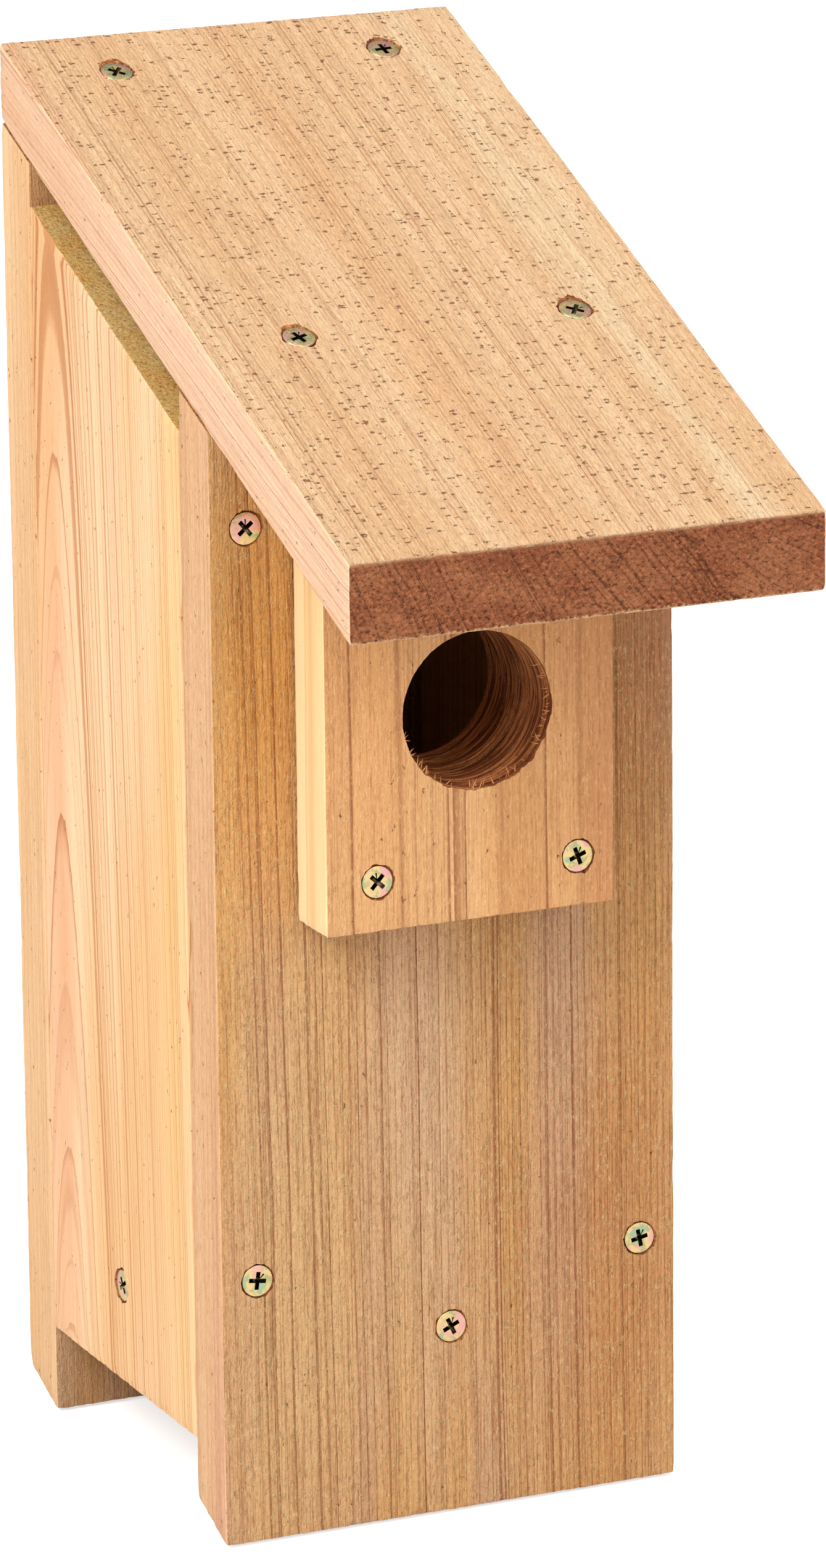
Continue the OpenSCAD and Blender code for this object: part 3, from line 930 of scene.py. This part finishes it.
def entrance_radius(angles, y):
    """Radius of the entrance at depth y: ring grooves, an opened joint and a splintered rim."""
    around = np.stack([np.cos(angles), np.sin(angles), np.zeros(len(angles))], 1) * ENTRANCE_R
    below = np.clip(-np.sin(angles - 0.35), 0, 1)
    groove = noise(np.full((1, 3), y), (0.8, 0, 0), 31)[0]
    fuzz = noise(around + (0, 0, y), (0.9, 0.9, 1.4), 32)
    depth = max(0.0, y - GUARD[0][1])
    splinter = np.clip(noise(around, (0.35, 0.35, 0), 33) - 0.05, 0, 1) * math.exp(-depth / 1.4)
    burr = np.clip(noise(around, (1.2, 1.2, 0), 34), 0, 1) * math.exp(-depth / 0.9)
    joint = 0.35 * math.exp(-((y - GUARD[1][1]) / 0.5)**2)
    radius = ENTRANCE_R + 0.26 * max(0, groove) + 0.05 + 0.05 * fuzz + joint
    return radius + (1.3 * below + 0.1) * splinter + (0.5 * below + 0.08) * burr


def entrance_cutter():
    """Cutter for the entrance, from before the guard to behind the front board."""
    angles = angles_round(ENTRANCE_SEGMENTS)
    front, inside = GUARD[0][1], FRONT[1][1]
    rings = []
    for y in np.concatenate([[front - 2], np.arange(front, inside + 0.3, ENTRANCE_STEP), [inside + 2]]):
        ring = circle(entrance_radius(angles, y), 0, ENTRANCE_SEGMENTS)
        rings.append(np.stack([ring[:, 0], np.full(ENTRANCE_SEGMENTS, y), ring[:, 1] + ENTRANCE_Z], 1))
    return ring_piece("entrance_cutter", rings, [M_BORE])


def entrance_fibre(rng):
    """A torn fibre that stays rooted in the guard's rim."""
    angle = rng.uniform(-2.9, 0.5)
    length = rng.uniform(0.8, 2.4)
    thick = rng.uniform(0.12, 0.3)
    rim = np.array((math.cos(angle), 0, math.sin(angle)))
    along = np.array((-math.sin(angle), 0, math.cos(angle)))
    root = rim * (ENTRANCE_R + 0.9) + (0, GUARD[0][1] + rng.uniform(0.5, 2.2), ENTRANCE_Z)
    lean = -rim + along * rng.uniform(-0.8, 0.8) + (0, rng.uniform(-0.12, 0.3), 0)
    tip = root + lean * (length + 0.6)
    middle = (root + tip) / 2 + (0, 0, -0.15 * length)
    side = np.cross(lean, (0, 1, 0))
    side = side / np.linalg.norm(side) * thick
    deep = np.array((0, 0.5 * thick, 0))
    rings = [np.array([at - side * k, at - deep * k, at + side * k, at + deep * k])
             for at, k in ((root, 1.0), (middle, 0.8), (tip, 0.12))]
    return ring_piece("fibre", rings, [M_FIBRE])


def entrance_fibres():
    """Torn fibres in the lower and right part of the guard's rim."""
    rng = np.random.default_rng(FIBRE_SEED)
    return [entrance_fibre(rng) for _ in range(FIBRE_COUNT)]


def ladder_cutters():
    """Cutters for the saw cuts inside the front board, below the entrance."""
    top = ENTRANCE_Z - ENTRANCE_R - CUT_STEP
    cutters = []
    for i in range(CUT_COUNT):
        low = (-CUT_SPAN / 2, FRONT[1][1] - CUT_W, top - i * CUT_STEP)
        high = (CUT_SPAN / 2, FRONT[1][1] + 2, top - i * CUT_STEP + CUT_W)
        cutters.append(box_cutter(low, high, M_INNER))
    return cutters


def make_front_board():
    length = FRONT[1][2] - FRONT[0][2] - BOARD_T * RISE

    def place(u, v, s):
        return FRONT[0][0] + u, FRONT[0][1] + v, s + v * RISE

    piece = make_board("front_board_detailed", (BODY_W, BOARD_T, length), (1.0, 1.2, 2.4), place,
                       [M_FRONT, M_END, M_EDGE, M_BORE, M_TORN, M_INNER], rough=1.0, seed=11,
                       nicks=FRONT_NICKS)
    cutters = countersinks(50, "left_panel_front_screws", "floor_front_screw",
                           "door_front_pivot_screw", "door_lock_screw")
    cut(piece, cutters + [entrance_cutter()] + ladder_cutters())
    finish_board(piece, "front_board", "box")


def make_back_board():
    length = BACK[1][2] - BACK[0][2] - BOARD_T * RISE

    def place(u, v, s):
        return BACK[1][0] - u, BACK[1][1] - v, s + (BOARD_T - v) * RISE

    piece = make_board("back_board_detailed", (BODY_W, BOARD_T, length), (1.2, 1.2, 3.0), place,
                       [M_BACK, M_END, M_BACK_EDGE, M_TORN], rough=0.9, seed=12)
    cut(piece, countersinks(70, "left_panel_back_screws", "floor_back_screw", "door_back_pivot_screw"))
    finish_board(piece, "back_board", "box")


def side_place(panel, outer, inner):
    """Maps a side panel's lattice: outer and inner are its X at v = 0 and v = BOARD_T."""
    low, high = panel
    inwards = 1 if inner > outer else -1

    def place(u, v, s):
        y = high[1] - u if inwards > 0 else low[1] + u
        top = high[2] - (high[1] - y) * RISE
        return outer + v * inwards, y, low[2] + s * (top - low[2]) / (high[2] - low[2])

    return place


def make_left_panel():
    size = (LEFT[1][1] - LEFT[0][1], BOARD_T, LEFT[1][2] - LEFT[0][2])
    place = side_place(LEFT, LEFT[0][0], LEFT[1][0])
    piece = make_board("left_side_panel_detailed", size, (1.0, 1.2, 2.6), place,
                       [M_SIDE, M_LIT_PANEL_END, M_TORN], rough=0.25, seed=13, edge_slot=FACE_ZONE)
    cut(piece, countersinks(90, "floor_left_screw"))
    finish_board(piece, "left_side_panel", "box")


def bore_cutter(start, end, radius):
    """Round cutter from one point to another, in millimetres."""
    axis = Vector(end) - Vector(start)
    rotation = np.array(axis.to_track_quat("Z", "Y").to_matrix())
    rings = [circle(radius, z, SINK_SEGMENTS) @ rotation.T + start for z in (0.0, axis.length)]
    return ring_piece("bore_cutter", rings, [M_BORE])


def door_cutters():
    """Cutters for the two pivot bores and for the lock screw's slot, which opens to the inside."""
    reach = SCREW_LEN - BOARD_T + 1
    inner, front, back = DOOR[0][0], DOOR[0][1], DOOR[1][1]
    (fore, _), = head_places("door_front_pivot_screw")
    (rear, _), = head_places("door_back_pivot_screw")
    (lock, _), = head_places("door_lock_screw")
    return [bore_cutter((fore[0], front - 2, fore[2]), (fore[0], front + reach, fore[2]), BORE_R),
            bore_cutter((rear[0], back + 2, rear[2]), (rear[0], back - reach, rear[2]), BORE_R),
            bore_cutter((lock[0], front - 2, lock[2]), (lock[0], front + reach, lock[2]), SLOT_R),
            box_cutter((inner - 2, front - 2, lock[2] - SLOT_R),
                       (lock[0], front + reach, lock[2] + SLOT_R), M_BORE)]


def make_door():
    size = (DOOR[1][1] - DOOR[0][1], BOARD_T, DOOR[1][2] - DOOR[0][2])
    place = side_place(DOOR, DOOR[1][0], DOOR[0][0])
    piece = make_board("clean_out_door_detailed", size, (1.2, 1.2, 2.8), place,
                       [M_DOOR, M_LIT_PANEL_END, M_BORE], rough=0.35, seed=14, edge_slot=FACE_ZONE)
    for cutter in door_cutters():
        cut(piece, [cutter])
    finish_board(piece, "clean_out_door", "door")


def make_roof():
    def place(u, v, s):
        y = ROOF[0][1] + s
        return ROOF[0][0] + u, y, roof_top(y) - v

    size = (BODY_W, BOARD_T / math.cos(PITCH), ROOF[1][1] - ROOF[0][1])
    piece = make_board("roof_board_detailed", size, (1.0, 1.0, 2.2), place,
                       [M_ROOF, M_ROOF_END, M_ROOF_EDGE, M_TORN], rough=0.8, seed=15, outer_r=1.0)
    cut(piece, countersinks(110, "roof_front_screws", "roof_back_screws",
                            gouge=(0, math.cos(PITCH), math.sin(PITCH))))
    finish_board(piece, "roof_board", "box")


def make_guard():
    def place(u, v, s):
        return GUARD[0][0] + u, GUARD[0][1] + v, GUARD[0][2] + s

    size = tuple(np.array(GUARD[1] - GUARD[0]))
    piece = make_board("entrance_guard_detailed", size, (0.9, 1.1, 1.8), place,
                       [M_GUARD, M_END, M_GUARD_EDGE, M_BORE, M_TORN], rough=0.6, seed=16)
    cut(piece, countersinks(130, "guard_lower_screws", "guard_upper_screws") + [entrance_cutter()])
    piece = join([piece] + entrance_fibres())
    finish_board(piece, "entrance_guard", "box")


def corner_cutter(x, y, low_z, high_z):
    """Diamond-shaped cutter that clips the floor's corner at x, y."""
    reach = DRAIN_CLIP
    outline = [(x - reach, y), (x, y - reach), (x + reach, y), (x, y + reach)]
    rings = [np.array([(px, py, z) for px, py in outline]) for z in (low_z, high_z)]
    return ring_piece("corner_cutter", rings, [M_INNER], smooth=False)


def make_floor():
    low, high = FLOOR

    def place(u, v, s):
        return low[0] + s, high[1] - u, high[2] - v

    size = (high[1] - low[1], BOARD_T, high[0] - low[0])
    piece = make_board("floor_board_detailed", size, (1.6, 1.4, 3.0), place, [M_INNER, M_END],
                       rough=0.6, seed=17, edge_slot=FACE_ZONE)
    corners = [(x, y) for y in (low[1], high[1]) for x in (low[0], high[0])]
    cut(piece, [corner_cutter(x, y, low[2] - 2, high[2] + 2) for x, y in corners])
    finish_board(piece, "floor_board", "box")


make_front_board()
make_back_board()
make_left_panel()
make_door()
make_roof()
make_guard()
make_floor()

template = screw_template()
for node in SCREWS:
    make_screws(template, node, "lock_screw" if node == "door_lock_screw" else "box")
bpy.data.objects.remove(template, do_unlink=True)

# ---- studio


def make_ground():
    """Pale floor that catches the shadow and looks white to the camera."""
    t = Tree("floor_paint")
    t.shader.inputs["Base Color"].default_value = (0.8, 0.8, 0.8, 1)
    t.shader.inputs["Roughness"].default_value = 0.9
    seen = t.node("ShaderNodeLightPath").outputs["Is Camera Ray"]
    t.shader.inputs["Emission Color"].default_value = (1, 1, 1, 1)
    t.set(t.shader.inputs["Emission Strength"], t.times(seen, FLOOR_GLOW))
    mesh = bpy.data.meshes.new("floor")
    far = 30.0
    mesh.from_pydata([(-far, -far, 0), (far, -far, 0), (far, far, 0), (-far, far, 0)], [], [(0, 1, 2, 3)])
    mesh.materials.append(t.material)
    floor = bpy.data.objects.new("floor", mesh)
    floor.location.z = -0.0005
    link(floor)


def make_world():
    """White surroundings: dim for the object, full for the camera."""
    world = bpy.data.worlds.new("studio")
    world.use_nodes = True
    bpy.context.scene.world = world
    nodes, links = world.node_tree.nodes, world.node_tree.links
    path = nodes.new("ShaderNodeLightPath")
    strength = nodes.new("ShaderNodeMapRange")
    strength.inputs["To Min"].default_value = FILL
    strength.inputs["To Max"].default_value = 1.0
    links.new(path.outputs["Is Camera Ray"], strength.inputs["Value"])
    nodes["Background"].inputs["Color"].default_value = (1, 1, 1, 1)
    links.new(strength.outputs["Result"], nodes["Background"].inputs["Strength"])


def make_studio():
    """Floor, surroundings and soft lamps; places and sizes of the lamps are in metres."""
    make_ground()
    make_world()
    add_lamp("key", (-1.7, -1.1, 1.9), 1.3, KEY_POWER)
    add_lamp("top", (0.2, -0.3, 2.6), 1.6, TOP_POWER)
    add_lamp("front", (0.6, -2.6, 1.2), 1.4, FRONT_POWER)


def add_lamp(name, place, size, power):
    """Square soft lamp that looks at the middle of the box."""
    light = bpy.data.lights.new(name, "AREA")
    light.size = size
    light.energy = power
    lamp = bpy.data.objects.new(name, light)
    lamp.location = place
    lamp.rotation_euler = (Vector((0, 0, 0.18)) - Vector(place)).to_track_quat("-Z", "Y").to_euler()
    link(lamp)


def make_camera():
    """A long lens from the left, a little above, level with the middle of the box."""
    azimuth, elevation = math.radians(VIEW_AZIMUTH), math.radians(VIEW_ELEVATION)
    roll = math.radians(VIEW_ROLL)
    back = Vector((-math.sin(azimuth) * math.cos(elevation), -math.cos(azimuth) * math.cos(elevation),
                   math.sin(elevation)))
    level = (-back).cross(Vector((0, 0, 1))).normalized()
    upright = level.cross(-back)
    right = math.cos(roll) * level + math.sin(roll) * upright
    up = -math.sin(roll) * level + math.cos(roll) * upright
    data = bpy.data.cameras.new("camera")
    data.sensor_fit = "VERTICAL"
    data.sensor_height = VIEW_SENSOR
    data.lens = VIEW_LENS
    camera = bpy.data.objects.new("camera", data)
    turn = Matrix((right, up, back)).transposed().to_4x4()
    turn.translation = Vector(VIEW_AIM) * MM + VIEW_DISTANCE * back
    camera.matrix_world = turn
    link(camera)
    bpy.context.scene.camera = camera


make_studio()
make_camera()

bpy.context.scene.view_settings.view_transform = "Standard"
bpy.context.view_layer.update()
